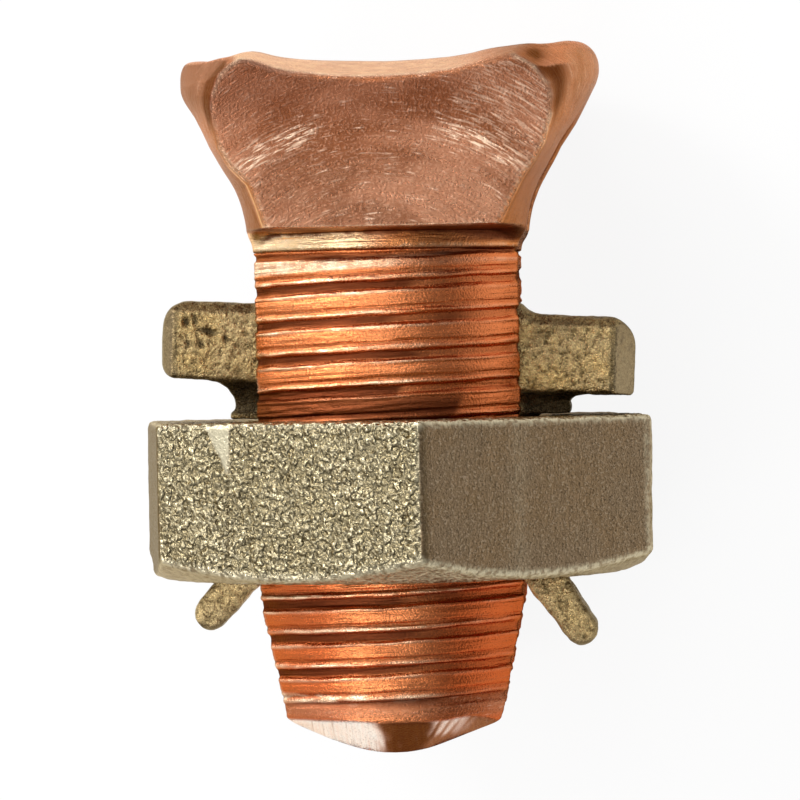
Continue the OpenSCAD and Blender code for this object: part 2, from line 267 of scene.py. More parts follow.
# Materials
class Graph:
    def __init__(self, name):
        self.material = bpy.data.materials.new(name)
        self.material.use_nodes = True
        self.tree = self.material.node_tree
        self.tree.nodes.clear()
        out = self.node("OutputMaterial")
        self.shader = self.node("BsdfPrincipled")
        self.tree.links.new(self.shader.outputs[0], out.inputs[0])

    def node(self, kind):
        return self.tree.nodes.new("ShaderNode" + kind)

    def put(self, value, socket):
        if isinstance(value, bpy.types.NodeSocket):
            self.tree.links.new(value, socket)
        elif isinstance(value, tuple) and socket.type == "RGBA":
            socket.default_value = (*value, 1)
        else:
            socket.default_value = value

    def attribute(self, name, vector=False):
        n = self.node("Attribute")
        n.attribute_name = name
        return n.outputs["Vector" if vector else "Fac"]

    def math(self, operation, *values):
        n = self.node("Math")
        n.operation = operation
        for value, socket in zip(values, n.inputs):
            self.put(value, socket)
        return n.outputs[0]

    def times(self, a, b):
        return self.math("MULTIPLY", a, b)

    def scale(self, vector, factors):
        n = self.node("VectorMath")
        n.operation = "MULTIPLY"
        self.put(vector, n.inputs[0])
        n.inputs[1].default_value = factors
        return n.outputs[0]

    def lean(self, vector):
        """The place in a leaning frame, so that the noise's own grid lies along no face."""
        n = self.node("VectorRotate")
        n.rotation_type = "EULER_XYZ"
        self.put(vector, n.inputs["Vector"])
        n.inputs["Rotation"].default_value = (0.6, 0.5, 0.7)
        return n.outputs["Vector"]

    def warp(self, vector, scale, size):
        """The place, pushed about by noise."""
        n = self.node("TexNoise")
        self.put(vector, n.inputs["Vector"])
        n.inputs["Scale"].default_value = scale
        m = self.node("VectorMath")
        m.operation = "MULTIPLY_ADD"
        self.put(n.outputs["Color"], m.inputs[0])
        m.inputs[1].default_value = (size, size, size)
        self.put(vector, m.inputs[2])
        return m.outputs[0]

    def noise(self, vector, scale, detail, rough, twist=0.0):
        n = self.node("TexNoise")
        self.put(vector, n.inputs["Vector"])
        n.inputs["Scale"].default_value = scale
        n.inputs["Detail"].default_value = detail
        n.inputs["Roughness"].default_value = rough
        n.inputs["Distortion"].default_value = twist
        return n.outputs["Fac"]

    def cells(self, vector, scale):
        n = self.node("TexVoronoi")
        self.put(vector, n.inputs["Vector"])
        n.inputs["Scale"].default_value = scale
        return n.outputs["Distance"]

    def span(self, value, lo, hi, a=0.0, b=1.0):
        """A smooth way from a, where the value is lo, to b, where it is hi."""
        n = self.node("MapRange")
        n.interpolation_type = "SMOOTHSTEP"
        self.put(value, n.inputs["Value"])
        for key, number in (("From Min", lo), ("From Max", hi), ("To Min", a), ("To Max", b)):
            n.inputs[key].default_value = number
        return n.outputs[0]

    def mix(self, share, a, b):
        n = self.node("Mix")
        n.data_type = "RGBA"
        self.put(share, n.inputs["Factor"])
        self.put(a, n.inputs[6])
        self.put(b, n.inputs[7])
        return n.outputs[2]

    def bump(self, height, strength, distance, normal=None):
        n = self.node("Bump")
        self.put(height, n.inputs["Height"])
        self.put(strength, n.inputs["Strength"])
        n.inputs["Distance"].default_value = distance
        if normal is not None:
            self.put(normal, n.inputs["Normal"])
        return n.outputs[0]

    def finish(self, colour, rough, normal, edge):
        self.put(colour, self.shader.inputs["Base Color"])
        self.put(rough, self.shader.inputs["Roughness"])
        self.put(normal, self.shader.inputs["Normal"])
        self.shader.inputs["Metallic"].default_value = 1.0
        self.shader.inputs["Specular Tint"].default_value = (*edge, 1)
        return self.material


def copper_material():
    """Fields: flat is matte, root is grime and painted shade, wear is pale wear and painted highlight, gold
    is gold with a painted glint, fresh is painted red shade, tip is a painted silvery reflection, score
    rough.
    """
    clear, cloudy, newly_cut = (0.82, 0.265, 0.095), (0.70, 0.21, 0.07), (0.56, 0.115, 0.03)
    matte_dark, matte_pale, matte_grain = (0.24, 0.082, 0.035), (0.41, 0.172, 0.092), (0.60, 0.32, 0.20)
    scratched, scored = (0.86, 0.58, 0.42), (1.0, 0.72, 0.52)
    gold_pale, gold_deep, gold_glint = (0.66, 0.25, 0.08), (0.50, 0.17, 0.05), (1.0, 0.70, 0.36)
    silvery, dim_streak, dark_grit = (1.0, 0.97, 0.90), (0.36, 0.115, 0.045), (0.22, 0.08, 0.035)
    worn_bright, shaded, edge_tint = (1.0, 0.76, 0.52), (0.10, 0.022, 0.008), (0.95, 0.66, 0.46)
    g = Graph("forged_copper")
    place, lay = g.lean(g.attribute("place", True)), g.attribute("lay", True)
    flat, root, wear = g.attribute("flat"), g.attribute("root"), g.attribute("wear")
    gold, fresh, tip = g.attribute("gold"), g.attribute("fresh"), g.attribute("tip")
    score = g.attribute("score")
    cloud = g.noise(place, 0.22, 3, 0.55)
    mottle = g.noise(place, 1.1, 4, 0.6)
    streak = g.noise(g.scale(lay, (4.5, 0.25, 1.0)), 1.0, 3, 0.6)
    fine = g.noise(g.scale(lay, (9.0, 0.4, 1.0)), 1.0, 2, 0.6)
    grit = g.noise(place, 7.0, 3, 0.6)
    scratch = g.noise(g.scale(lay, (7.0, 0.7, 1.0)), 1.0, 2, 0.6)
    fan = g.noise(g.scale(lay, (0.38, 0.13, 1.0)), 1.0, 2, 0.5)
    rest = g.math("SUBTRACT", 1.0, g.times(flat, 0.75))
    colour = g.mix(g.span(cloud, 0.35, 0.65), clear, cloudy)
    # Painted shade, redder, on the legs' sides
    colour = g.mix(fresh, colour, newly_cut)
    # The matte colour swings in a painted fan of sheen
    plain = g.mix(g.span(fan, 0.38, 0.62), matte_dark, matte_pale)
    plain = g.mix(g.span(grit, 0.5, 0.7, 0.0, 0.6), plain, matte_grain)
    clustered = g.times(g.span(scratch, 0.56, 0.72), g.span(mottle, 0.42, 0.6, 0.0, 0.7))
    plain = g.mix(clustered, plain, scratched)
    plain = g.mix(g.times(score, g.span(scratch, 0.47, 0.6)), plain, scored)
    colour = g.mix(flat, colour, plain)
    rich = g.mix(g.span(streak, 0.35, 0.65), gold_pale, gold_deep)
    colour = g.mix(g.span(gold, 0.0, 0.5, 0.0, 0.9), colour, rich)
    # A painted silvery reflection on the point, the head's top and its left lip
    colour = g.mix(g.times(tip, g.span(streak, 0.36, 0.56, 0.85, 1.0)), colour, silvery)
    dim = g.times(g.span(streak, 0.5, 0.72, 0.0, 0.45), rest)
    colour = g.mix(dim, colour, dim_streak)
    colour = g.mix(g.span(grit, 0.42, 0.3, 0.0, 0.55), colour, dark_grit)
    # A painted gold glint on the neck's left and beside the flat's left edge
    colour = g.mix(g.span(gold, 0.6, 1.0, 0.0, 0.95), colour, gold_glint)
    # Pale wear, with painted highlights
    colour = g.mix(g.times(wear, g.span(mottle, 0.35, 0.65, 0.4, 1.0)), colour, worn_bright)
    # Grime, with painted shade
    colour = g.mix(g.times(root, 0.95), colour, shaded)
    rough = g.span(streak, 0.3, 0.7, 0.15, 0.28)
    rough = g.math("ADD", rough, g.times(flat, 0.1))
    rough = g.math("ADD", rough, g.times(root, 0.14))
    rough = g.math("SUBTRACT", rough, g.times(wear, 0.05))
    rough = g.math("ADD", rough, g.span(grit, 0.4, 0.75, -0.03, 0.1))
    normal = g.bump(streak, g.times(rest, 0.8), 0.0001)
    normal = g.bump(fine, g.times(rest, 0.6), 0.00005, normal)
    normal = g.bump(scratch, g.times(flat, 0.5), 0.0001, normal)
    normal = g.bump(grit, g.math("MULTIPLY_ADD", flat, 0.4, 0.6), 0.00007, normal)
    return g.finish(colour, rough, normal, edge_tint)


def nut_material():
    """Fields: coarse is cast and not brushed, wear is pale wear and painted light, patch is pale, hollow is
    the dark seam and painted shade.
    """
    cast_dark, cast_pale = (0.53, 0.45, 0.28), (0.61, 0.525, 0.34)
    cast_pit, cast_grain = (0.12, 0.09, 0.04), (0.74, 0.66, 0.46)
    brushed_dark, brushed_pale = (0.22, 0.145, 0.076), (0.29, 0.195, 0.11)
    brushed_cloud, brushed_grain = (0.24, 0.175, 0.11), (0.42, 0.32, 0.21)
    dark_speck, chipped, worn_pale = (0.10, 0.065, 0.037), (0.50, 0.45, 0.32), (0.66, 0.58, 0.40)
    shaded, edge_tint = (0.09, 0.065, 0.03), (0.72, 0.62, 0.45)
    g = Graph("cast_nut_bronze")
    place, lay = g.attribute("place", True), g.attribute("lay", True)
    coarse, wear, patch = g.attribute("coarse"), g.attribute("wear"), g.attribute("patch")
    hollow = g.attribute("hollow")
    sand = g.noise(place, 3.0, 1, 0.5, 0.3)
    fine = g.noise(place, 6.0, 2, 0.6)
    cloud = g.noise(place, 0.35, 3, 0.5)
    brush = g.noise(g.scale(lay, (5.5, 0.7, 1.0)), 1.0, 3, 0.65)
    speck = g.noise(place, 9.0, 1, 0.5)
    grains = g.cells(g.warp(place, 1.6, 0.35), 2.6)
    dome = g.span(grains, 0.05, 0.7, 1.0, 0.0)
    lumps = g.math("MULTIPLY_ADD", dome, 0.6, sand)
    cast = g.mix(g.span(cloud, 0.35, 0.65), cast_dark, cast_pale)
    cast = g.mix(g.span(lumps, 0.85, 0.6, 0.0, 0.7), cast, cast_pit)
    cast = g.mix(g.span(fine, 0.55, 0.75, 0.0, 0.5), cast, cast_grain)
    smooth = g.mix(g.span(brush, 0.3, 0.72), brushed_dark, brushed_pale)
    smooth = g.mix(g.span(cloud, 0.35, 0.65, 0.0, 0.5), smooth, brushed_cloud)
    smooth = g.mix(g.span(fine, 0.52, 0.68, 0.0, 0.8), smooth, brushed_grain)
    smooth = g.mix(g.span(speck, 0.56, 0.68, 0.0, 0.8), smooth, dark_speck)
    colour = g.mix(coarse, smooth, cast)
    colour = g.mix(patch, colour, chipped)
    # Pale wear with painted light, and the dark seam with painted shade
    colour = g.mix(g.times(wear, g.span(sand, 0.3, 0.6, 0.2, 0.9)), colour, worn_pale)
    colour = g.mix(g.times(hollow, 0.75), colour, shaded)
    rough = g.math("ADD", g.span(fine, 0.3, 0.7, 0.30, 0.48), g.times(coarse, -0.14))
    normal = g.bump(lumps, coarse, 0.0003)
    normal = g.bump(fine, g.math("ADD", g.times(coarse, 0.1), 0.6), 0.0001, normal)
    normal = g.bump(brush, g.math("SUBTRACT", 0.12, g.times(coarse, 0.12)), 0.0001, normal)
    return g.finish(colour, rough, normal, edge_tint)


def bar_material():
    """Fields: wear is pale wear and painted highlight, end is worked smooth, under is painted shade, hollow
    is dark marks and painted shade.
    """
    golden, olive, dark_sand = (0.60, 0.42, 0.175), (0.47, 0.345, 0.17), (0.13, 0.085, 0.032)
    pale_grain, dark_pit, worn_pale = (0.90, 0.70, 0.34), (0.08, 0.055, 0.022), (0.66, 0.50, 0.26)
    end_dark, end_pale = (0.21, 0.155, 0.088), (0.29, 0.22, 0.13)
    turned_down, shaded, edge_tint = (0.08, 0.05, 0.025), (0.04, 0.028, 0.016), (0.92, 0.84, 0.66)
    g = Graph("cast_bar_bronze")
    place = g.attribute("place", True)
    wear, hollow, under, end = (g.attribute(name) for name in ("wear", "hollow", "under", "end"))
    cloud = g.noise(place, 0.4, 3, 0.55)
    sand = g.noise(place, 2.1, 4, 0.62, 0.4)
    fine = g.noise(place, 7.0, 3, 0.6)
    hole = g.cells(g.warp(place, 1.3, 0.8), 1.5)
    colour = g.mix(g.span(cloud, 0.35, 0.65), golden, olive)
    colour = g.mix(g.span(sand, 0.5, 0.38, 0.0, 0.85), colour, dark_sand)
    colour = g.mix(g.span(fine, 0.53, 0.68, 0.0, 0.85), colour, pale_grain)
    colour = g.mix(g.span(hole, 0.2, 0.08, 0.0, 0.7), colour, dark_pit)
    colour = g.mix(g.times(wear, g.span(sand, 0.35, 0.6, 0.2, 0.7)), colour, worn_pale)
    worked = g.mix(g.span(fine, 0.35, 0.65), end_dark, end_pale)
    colour = g.mix(g.times(end, 0.85), colour, worked)
    # Painted shade over undersides, upper bevels, prong sides and dusky faces, then dark marks with painted
    # shade
    colour = g.mix(g.times(under, 0.75), colour, turned_down)
    colour = g.mix(g.times(hollow, 0.92), colour, shaded)
    rough = g.span(fine, 0.3, 0.7, 0.2, 0.4)
    rest = g.math("SUBTRACT", 1.0, g.times(end, 0.75))
    normal = g.bump(sand, rest, 0.0003)
    normal = g.bump(g.span(hole, 0.08, 0.24), g.times(rest, 0.5), 0.00012, normal)
    normal = g.bump(fine, g.times(rest, 0.7), 0.0001, normal)
    return g.finish(colour, rough, normal, edge_tint)


def add_piece(name, points, faces, body, node, slot, material, caps=(), **fields):
    """A mesh with its finish fields, which the material reads by name."""
    mesh = bpy.data.meshes.new(name)
    mesh.from_pydata(to_row(points).tolist(), [], faces.tolist() + [list(c) for c in caps])
    mesh.polygons.foreach_set("use_smooth", np.ones(len(mesh.polygons), bool))
    for key, values in {"place": points, **fields}.items():
        values = np.asarray(values, np.float32)
        kind, part = ("FLOAT_VECTOR", "vector") if values.ndim == 2 else ("FLOAT", "value")
        mesh.attributes.new(key, kind, "POINT").data.foreach_set(part, values.ravel())
    mesh.update()
    o = bpy.data.objects.new(name, mesh)
    bpy.context.scene.collection.objects.link(o)
    mesh.materials.append(material)
    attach(o, body)
    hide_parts(node)


# The bolt's head: at each height, the flat's half width and how far the sides stand in
EDGE_Z = [-1.4, 0.15, 1.35, 2.4, 3.5, 5.15, 6.3, 7.1, 8.1, 8.6, 9.4]
EDGE_LEFT = [6.84, 7.37, 7.83, 8.9, 9.58, 9.92, 10.03, 9.93, 9.45, 8.6, 7.0]
EDGE_RIGHT = [7.19, 7.95, 8.6, 9.37, 9.98, 10.42, 10.44, 10.22, 9.47, 8.4, 6.8]
TRIM_Z = [-2.0, 1.0, 4.0, 5.2, 6.0, 7.5, 9.0]
TRIM_LEFT = [0.25, 0.18, 0.25, 0.42, 0.5, 0.5, 0.4]
TRIM_RIGHT = [0.12, 0.1, 0.2, 0.0, -0.02, -0.08, -0.1]


def head_width(z):
    """Half of the head's width under the lips: a straight flare with a round foot."""
    slope_x = LIP_X + LIP_R * math.cos(FLARE)
    waist_z = LIP_FOOT - (slope_x - WAIST) / math.tan(FLARE)
    blend = FLARE_R * math.tan(FLARE / 2)
    low = waist_z - blend
    line = slope_x - (LIP_FOOT - z) * math.tan(FLARE)
    arc = WAIST + FLARE_R - np.sqrt(np.maximum(FLARE_R**2 - (z - low) ** 2, 0.01))
    return np.where(z > waist_z + blend * math.cos(FLARE), line, np.where(z > low, arc, WAIST))


def head_parts(p):
    """The head's faces as signed distances, after the heights that they are measured at."""
    x, y, z = p[:, 0], p[:, 1], p[:, 2]
    # The left lip is lower than the right one, which has a dip, and a hump stands beside the left one
    lower = 0.5 * ease(-x, 8.9, 10.6) - 0.38 * ease(x, 9.5, 11.5) - 0.16 * ease(x, 4, 7)
    lower = lower + 0.32 * peak(x, 11.0, 1.8) - 0.2 * peak(x, -7.6, 1.1)
    z = z + lower * ease(z, 3, 9)
    trim = np.where(x < 0, np.interp(z, TRIM_Z, TRIM_LEFT), np.interp(z, TRIM_Z, TRIM_RIGHT))
    ax = np.abs(x) + trim
    # The flat's edge on each side, which the bulged side runs out to
    left, right = np.interp(z, EDGE_Z, EDGE_LEFT), np.interp(z, EDGE_Z, EDGE_RIGHT)
    edge = np.where(y > 0, (left + right) / 2, np.where(x < 0, left, right))
    # The left lip is squarer on its upper side
    power = 2 + 2 * ease(-x, 8, 10) * (z > LIP_Z)
    drop = np.abs(np.minimum(z, 9.5) - LIP_Z)
    rim = LIP_X + np.maximum(LIP_R**power - drop**power, 0.01) ** (1 / power)
    wide = np.where(z > LIP_FOOT, rim, head_width(z))
    bow = 1 - (1 - (edge + trim) / wide) * (np.abs(y) / FLAT_Y) ** 2.4
    side = (ax - wide * bow) * 0.87
    lip = (np.maximum(ax / bow - LIP_X, TINY) ** power + np.abs(z - LIP_Z) ** power) ** (1 / power) - LIP_R
    rounded = np.where(ax / bow > LIP_X, lip, np.minimum(lip, z - LIP_Z - LIP_R))
    side = np.where(z > LIP_FOOT, rounded, side)
    flat = np.abs(y) - FLAT_Y
    # The neck is round, and the head grows out of it over a low foot
    r = np.hypot(x, y)
    ring = np.minimum(WAIST * bow / np.maximum(ax, TINY), FLAT_Y / np.maximum(np.abs(y), TINY)) * r
    foot = 0.3 + 0.9 * (1 - ease(np.abs(y), 5.5, 7.5))
    share = ease((z + FLAT_FOOT - 0.02) / foot, -1, 0) ** 2
    roll = 0.13 * (1 - np.clip((z + 2.0) / 0.85, -1, 1) ** 2)
    neck = r - (NECK_R - 0.1 + roll + (ring - NECK_R) * share)
    saddle_r = (LIP_X**2 + LIP_RISE**2) / (2 * LIP_RISE)
    saddle = saddle_r - np.hypot(x, z - HEAD_RISE - saddle_r)
    relief = []
    for s in (1, -1):
        y1, z1 = s * y + FLAT_Y, z - HEAD_RISE + RELIEF_DROP
        up = z1 * math.cos(RELIEF_LEAN) - y1 * math.sin(RELIEF_LEAN)
        relief.append(RELIEF_R - np.hypot(x, up - RELIEF_R))
    # The cable seat, which widens to its mouths and opens into the slot below
    d = np.clip(ax - MOUTH_X, 0, MOUTH_L)
    bore = SEAT_R + MOUTH_R - np.sqrt(MOUTH_R**2 - d * d)
    rho = np.hypot(y, p[:, 2])
    cut = np.where(p[:, 2] > 0, bore - rho, np.maximum(SLOT_HALF - np.abs(y), bore - rho))
    return x, y, z, side, flat, neck, saddle, relief[0], relief[1], cut


def head_solid(p):
    x, y, z, side, flat, neck, saddle, front, back, cut = head_parts(p)
    body = smax(side, flat, 0.3)
    body = np.where(z < -FLAT_FOOT, np.maximum(neck, flat), body)
    top = smax(smax(saddle, front, 0.35), back, 0.35)
    body = smax(body, top, 0.5)
    # The left lip's top is cut off level, with a step up to the hump and a rise at its outer end
    bump = 0.62 * ease(x, -9.05, -7.6) + 0.38 * ease(-x, 9.5, 11) * (1 - ease(np.abs(y), 3, 7))
    body = smax(body, p[:, 2] - 9.14 - bump - 4 * ease(x, -7.9, -6.0), 0.35)
    body = smax(body, cut, 0.45)
    return smax(body, -NECK_FOOT - p[:, 2], 0.05 + 0.12 * ease(np.abs(y), 5.5, 7.5))


def make_head(material):
    step = 0.185
    p, faces = surface(head_solid, (-14, -12.6, -3.2), (14, 12.6, 10.8), step)
    n = outward(head_solid, p)
    x, y, z, _, flat, _, saddle, front, back, cut = head_parts(p)
    edge = bulge(p, n, faces, step, 2)
    on_flat = ease(flat, -0.12, -0.02) * ease(np.abs(n[:, 1]), 0.9, 0.98) * (z > -FLAT_FOOT)
    on_top = ease(n[:, 2], 0.6, 0.9) * ease(z, 5, 7)
    on_cut = ease(cut, -0.1, -0.02)
    on_neck = ease(-z, FLAT_FOOT - 0.1, FLAT_FOOT + 0.15) * (1 - on_cut)
    on_side = (1 - on_flat) * (1 - on_top) * (1 - on_cut) * (1 - on_neck)
    p = p + n * (0.03 * noise(p, 2.6, 1) + 0.012 * noise(p, 0.8, 2))[:, None]
    # Scratches and streaks run round a point below the flat, and along or round the other faces
    swing = np.arctan2(x, z + SWEEP_LOW)
    reach = np.hypot(x, z + SWEEP_LOW)
    round_neck = np.arctan2(y, x) * 10
    lay = np.stack([y, x, z], 1)
    for mask, axes in (
        (on_flat, (reach, swing * reach, y)), (on_neck, (z, round_neck, 0 * z)),
        (on_side, (y, z, x)), (on_cut, (x, z, y)),
    ):
        lay = np.where(mask[:, None] > 0.5, np.stack(axes, 1), lay)
    crease = ease(-edge, 0.2, 0.9)
    # The top's sloped facets carry a painted highlight, less on the right
    relief = ease(np.maximum(front, back), -0.3, 0.0) * on_top * (1 - 0.8 * ease(x, 3.5, 7.0))
    # Scratches crowd along one arc of the flat
    score = peak(reach, 14.0, 0.6) * ease(np.abs(swing), 0.22, 0.34) * (1 - ease(np.abs(swing), 0.58, 0.7))
    score = np.maximum(score, 0.3 * ease(swing, 0.25, 0.4) * ease(reach, 12.5, 14.5)) * on_flat
    # A painted shadow under the flats' lower edges
    ledge = ease(-z, FLAT_FOOT - 0.05, FLAT_FOOT + 0.02)
    ledge = ledge * (1 - ease(-z, FLAT_FOOT + 0.12, FLAT_FOOT + 0.27)) * ease(np.abs(y), 8.0, 9.5)
    # High on the sides a painted shadow lies behind the flat's front edges
    broad = 0.7 + 0.7 * ease(z, 5.0, 8.0) * (x > 0)
    shadow = peak(FLAT_Y - np.abs(y), broad, broad) * ease(z, 4.0, 6.0)
    shadow = shadow * on_side * ease(-y, 0, 4) * ease(np.abs(n[:, 0]), 0.3, 0.6)
    rim = ease(saddle, -0.2, -0.1) * ease(np.maximum(front, back), -0.2, -0.1) * on_top
    # A painted shadow on the front of the head, high beside the flat's top right corner
    corner = ease(x, 5.5, 8.5) * (1 - ease(x, 9.0, 11.5)) * ease(z, 6.5, 8.0)
    corner = corner * (1 - on_flat) * ease(-y, 5, 10)
    # Painted shade at the head's foot, where the legs start
    under = ease(-z, NECK_FOOT - 0.25, NECK_FOOT - 0.05)
    on_lip = on_side * ease(z, 3.5, 6.5)
    # Painted shade makes the left side darker than the right one, and the neck has a painted highlight on
    # its left and painted shade on its right
    left, right = ease(-x, 3, 7), ease(x, 3, 7)
    glint = on_neck * (1 - ease(x, -3.5, 1.5)) * (1 - ledge)
    dull = on_neck * right * ease(z, -2.3, -1.9)
    # Low on the sides a painted highlight line runs beside the flat's left edge and a painted shadow line
    # beside its right edge
    low_side = on_side * (1 - ease(z, 2.0, 4.5))
    beside = peak(FLAT_Y - np.abs(y), 0.35, 0.35) * low_side
    gold = np.maximum(0.5 * on_neck + 0.5 * glint, 0.5 * (on_side - 0.8 * on_lip))
    gold = np.maximum(gold, 0.9 * beside * left)
    # root: darker in creases and along the top's rim, and painted shade under the flats, in the seat and
    # slot, behind the flat's edges, at the foot, on the neck's right, on the flat's upper part and left,
    # and on the left side
    root = crease + ledge + 0.35 * on_cut + 0.9 * shadow + 0.75 * under + 0.92 * dull
    root = root + 0.4 * rim + 0.6 * corner
    root = root + on_flat * (0.48 * ease(z, 3.5, 7) * (1 - 0.3 * right) + 0.1 * left * ease(z, 0, 4))
    root = root + on_side * left * (0.32 + 0.2 * ease(z, 5, 7.5))
    root = root + 0.42 * low_side * left + beside * (0.32 * right - 0.74 * left)
    # wear: worn edges, and painted highlights on the neck's left, the right side, the top's facets and the
    # flat's lower part
    wear = 0.55 * ease(edge, 0.45, 1.2) + 0.6 * glint + 0.1 * on_side * right + 0.8 * relief
    wear = wear + 0.05 * on_flat * (1 - ease(z, 1, 4))
    add_piece(
        "bolt_head", p, faces, "bolt", "split_bolt", "copper", material,
        lay=lay,
        fresh=0 * x,
        score=score,
        flat=np.maximum.reduce([on_flat, 0.85 * on_lip, 0.5 * on_top, 0.4 * on_cut, 0.7 * dull]),
        gold=gold * (1 - 0.8 * dull),
        # tip: a painted silvery highlight on the top, its facets and the left lip
        tip=0.1 * on_top + 0.2 * relief + 0.1 * on_lip * left,
        root=np.clip(root, 0, 1),
        wear=np.clip(wear, 0, 1) * (1 - under) * (1 - 0.7 * low_side * right),
    )


# One of the bolt's two threaded legs, swept from its tip up into the head
def make_leg(name, leg, material):
    middle = (2 * leg - 1) * math.pi / 2
    tip_start, dense_from, top = -SHANK + 0.03, -31.0, -2.0
    rows = np.concatenate([np.linspace(tip_start, dense_from, 34)[:-1], np.linspace(dense_from, top, 420)])
    arc_n, chord_n = 112, 30
    tip_z = -SHANK - SLOT_HALF / math.tan(POINT)
    z = rows[:, None]
    low = -(SHANK - 2.5)
    lead = np.where(z > low + LEAD_L, LEG_R, LEAD_R + (LEG_R - LEAD_R) * (z - low) / LEAD_L)
    cone = (z - tip_z) * math.tan(POINT)
    limit = smin(lead, cone, 0.5)
    hidden = ease(z, -2.62, -2.46)
    spread = np.arccos(np.clip(SLOT_HALF / limit, -1, 0.9999))
    # The angle from the leg's middle, also towards +X, and about as millimetres round the leg
    t = np.linspace(-1, 1, arc_n)[None, :] * spread
    to_right = t * (1 - 2 * leg)
    arc = t * MM_PER_RADIAN
    turn = to_right * MM_PER_RADIAN
    angle = middle + t
    helix = z - PITCH * angle / (2 * math.pi)
    along = THREAD_R * angle

    def spots(u, v, shift, size, seed):
        """Noise on the leg's round side."""
        at = np.stack(np.broadcast_arrays(u, v, 0 * t + shift), -1)
        return noise(at.reshape(-1, 3), size, seed).reshape(t.shape)

    def grain(size, seed, stretch=1.0, squeeze=1.0):
        """Noise that is drawn out along the thread."""
        return spots(along * 0.35 * stretch, helix * 1.6 * squeeze, 40 * leg, size, seed)

    # The point is dinged and chipped
    dings = 0.05 * spots(arc, z, 7, 1.2, 20) + 0.03 * spots(arc, z, 7, 0.5, 26)
    chipped = 0.3 * ease(t, 0.72, 0.92) - 0.3 * peak(t, 0.6, 0.17) - 0.12 * ease(-t, 0.1, 0.4)
    cone = cone + dings + chipped
    phase = root_phase(angle, z) + 0.022 * grain(0.6, 11) + 0.022 * grain(2.6, 12)
    fade = ease(z, *THREAD_END) * (1 - ease(z, *THREAD_TOP))
    fade = fade * (1 - 0.5 * ease(np.abs(t) / spread, 0.93, 1.0))
    ripple = 0.032 * grain(0.7, 13, 1.0, 2.5)
    groove = peak(z - 0.3 * ease(to_right, 0.2, 0.7), -2.95, 0.2, 4)
    r = lead - DEPTH * fade * thread_depth(phase) + ripple - 0.02 - 0.16 * groove
    r = smin(r, cone, 0.25) - 0.9 * hidden
    # Each ring is the round side and then the slot's flat side, with their corners softened
    depth = np.maximum(r * np.cos(t), SLOT_HALF + 0.03 * ease(z, -2.85, -2.65) + 0.6 * hidden)
    width = r * np.sin(t)
    chord_w = np.abs(width[:, -1:]) * np.linspace(1, -1, chord_n + 2)[None, 1:-1]
    chord_d = np.broadcast_to(depth.min(1, keepdims=True), chord_w.shape)
    ring_d = np.concatenate([depth, chord_d], 1)
    ring_w = np.concatenate([width, chord_w], 1)
    n = arc_n + chord_n
    index = np.arange(n)
    gap = np.minimum(np.abs(index - (arc_n - 0.5)), np.minimum(index + 0.5, n - index - 0.5))
    soft = 0.4 * ease(-gap, -1.8, -0.9)[None, :]
    ring_d = ring_d + soft * (0.5 * (np.roll(ring_d, 1, 1) + np.roll(ring_d, -1, 1)) - ring_d)
    ring_w = ring_w + soft * (0.5 * (np.roll(ring_w, 1, 1) + np.roll(ring_w, -1, 1)) - ring_w)
    x = ring_d * math.cos(middle) - ring_w * math.sin(middle)
    y = ring_d * math.sin(middle) + ring_w * math.cos(middle)
    zz = np.broadcast_to(z, x.shape)
    grid = np.arange(x.size).reshape(x.shape)
    a, b = grid[:-1], grid[1:]
    faces = np.stack([a, np.roll(a, -1, 1), np.roll(b, -1, 1), b], -1).reshape(-1, 4)
    ends = [[x[0].mean(), y[0].mean(), rows[0] - 0.02], [x[-1].mean(), y[-1].mean(), rows[-1]]]
    points = np.concatenate([np.stack([x, y, zz], -1).reshape(-1, 3), ends])
    caps = []
    for j in range(n):
        caps.append((x.size, grid[0, (j + 1) % n], grid[0, j]))
        caps.append((x.size + 1, grid[-1, j], grid[-1, (j + 1) % n]))

    def whole(values):
        """Values of the round side, with zeros for the slot's side."""
        return np.pad(np.broadcast_to(values, t.shape), ((0, 0), (0, chord_n)))

    # Where each finish goes
    outer = whole(1.0)
    inner = 1 - outer
    phase = whole(phase % 1)
    on_cone = whole(ease(lead - cone, -0.15, 0.15))
    # The point has a painted silvery reflection on the left and in a second patch on the right, with a
    # painted dark patch of shade between
    blot = spots(arc, z * 0.8, 5, 1.1, 14) + 0.5 * spots(arc, z * 0.8, 5, 0.4, 16)
    comb = spots(arc, z * 0.15, 0, 0.3, 19)
    bright = 1 - ease(turn + 0.9 * blot, -2.0, 0.0)
    second = peak(turn + 0.3 * blot, 4.0, 1.6, 4) * ease(comb, -0.7, 0.1)
    second = second * ease(z + 0.3 * comb, -32.4, -31.9)
    bright = whole(np.maximum(bright, 0.75 * second))
    scorch = whole(peak(turn + 0.6 * blot, 1.2, 1.5))
    # The thread's roots are darkened, by grime and painted shade, and its crest edges carry painted
    # highlights, both less so on the right
    threaded = outer * (1 - on_cone) * whole(ease(z, *THREAD_END))
    right = whole(ease(to_right + 0.35 * grain(1.5, 17, 1.3, 0.6), 0.05, 0.45))
    dark = np.maximum(1 - ease(phase, 0.06, 0.17), ease(phase, 0.86, 0.91))
    dark = np.maximum(dark, 0.6 * peak(phase, 0.67, 0.035))
    dark = dark * threaded * (1 - 0.7 * right) * (1 - ease(zz, *THREAD_TOP))
    crest = peak(phase, 0.215, 0.04) + peak(phase, 0.79, 0.05)
    # Painted highlights on the crests at the left edge, and painted shade in the notches at the right edge
    side = ease(-gap, -3.0, -1.0)[None, :]
    corner = side * ease(phase, 0.25, 0.4) * (1 - ease(phase, 0.75, 0.88)) * (1 - right)
    notch = side * right * np.maximum(1 - ease(phase, 0.1, 0.3), ease(phase, 0.7, 0.85)) * threaded
    patchy = whole(ease(grain(0.9, 15), -0.3, 0.5))
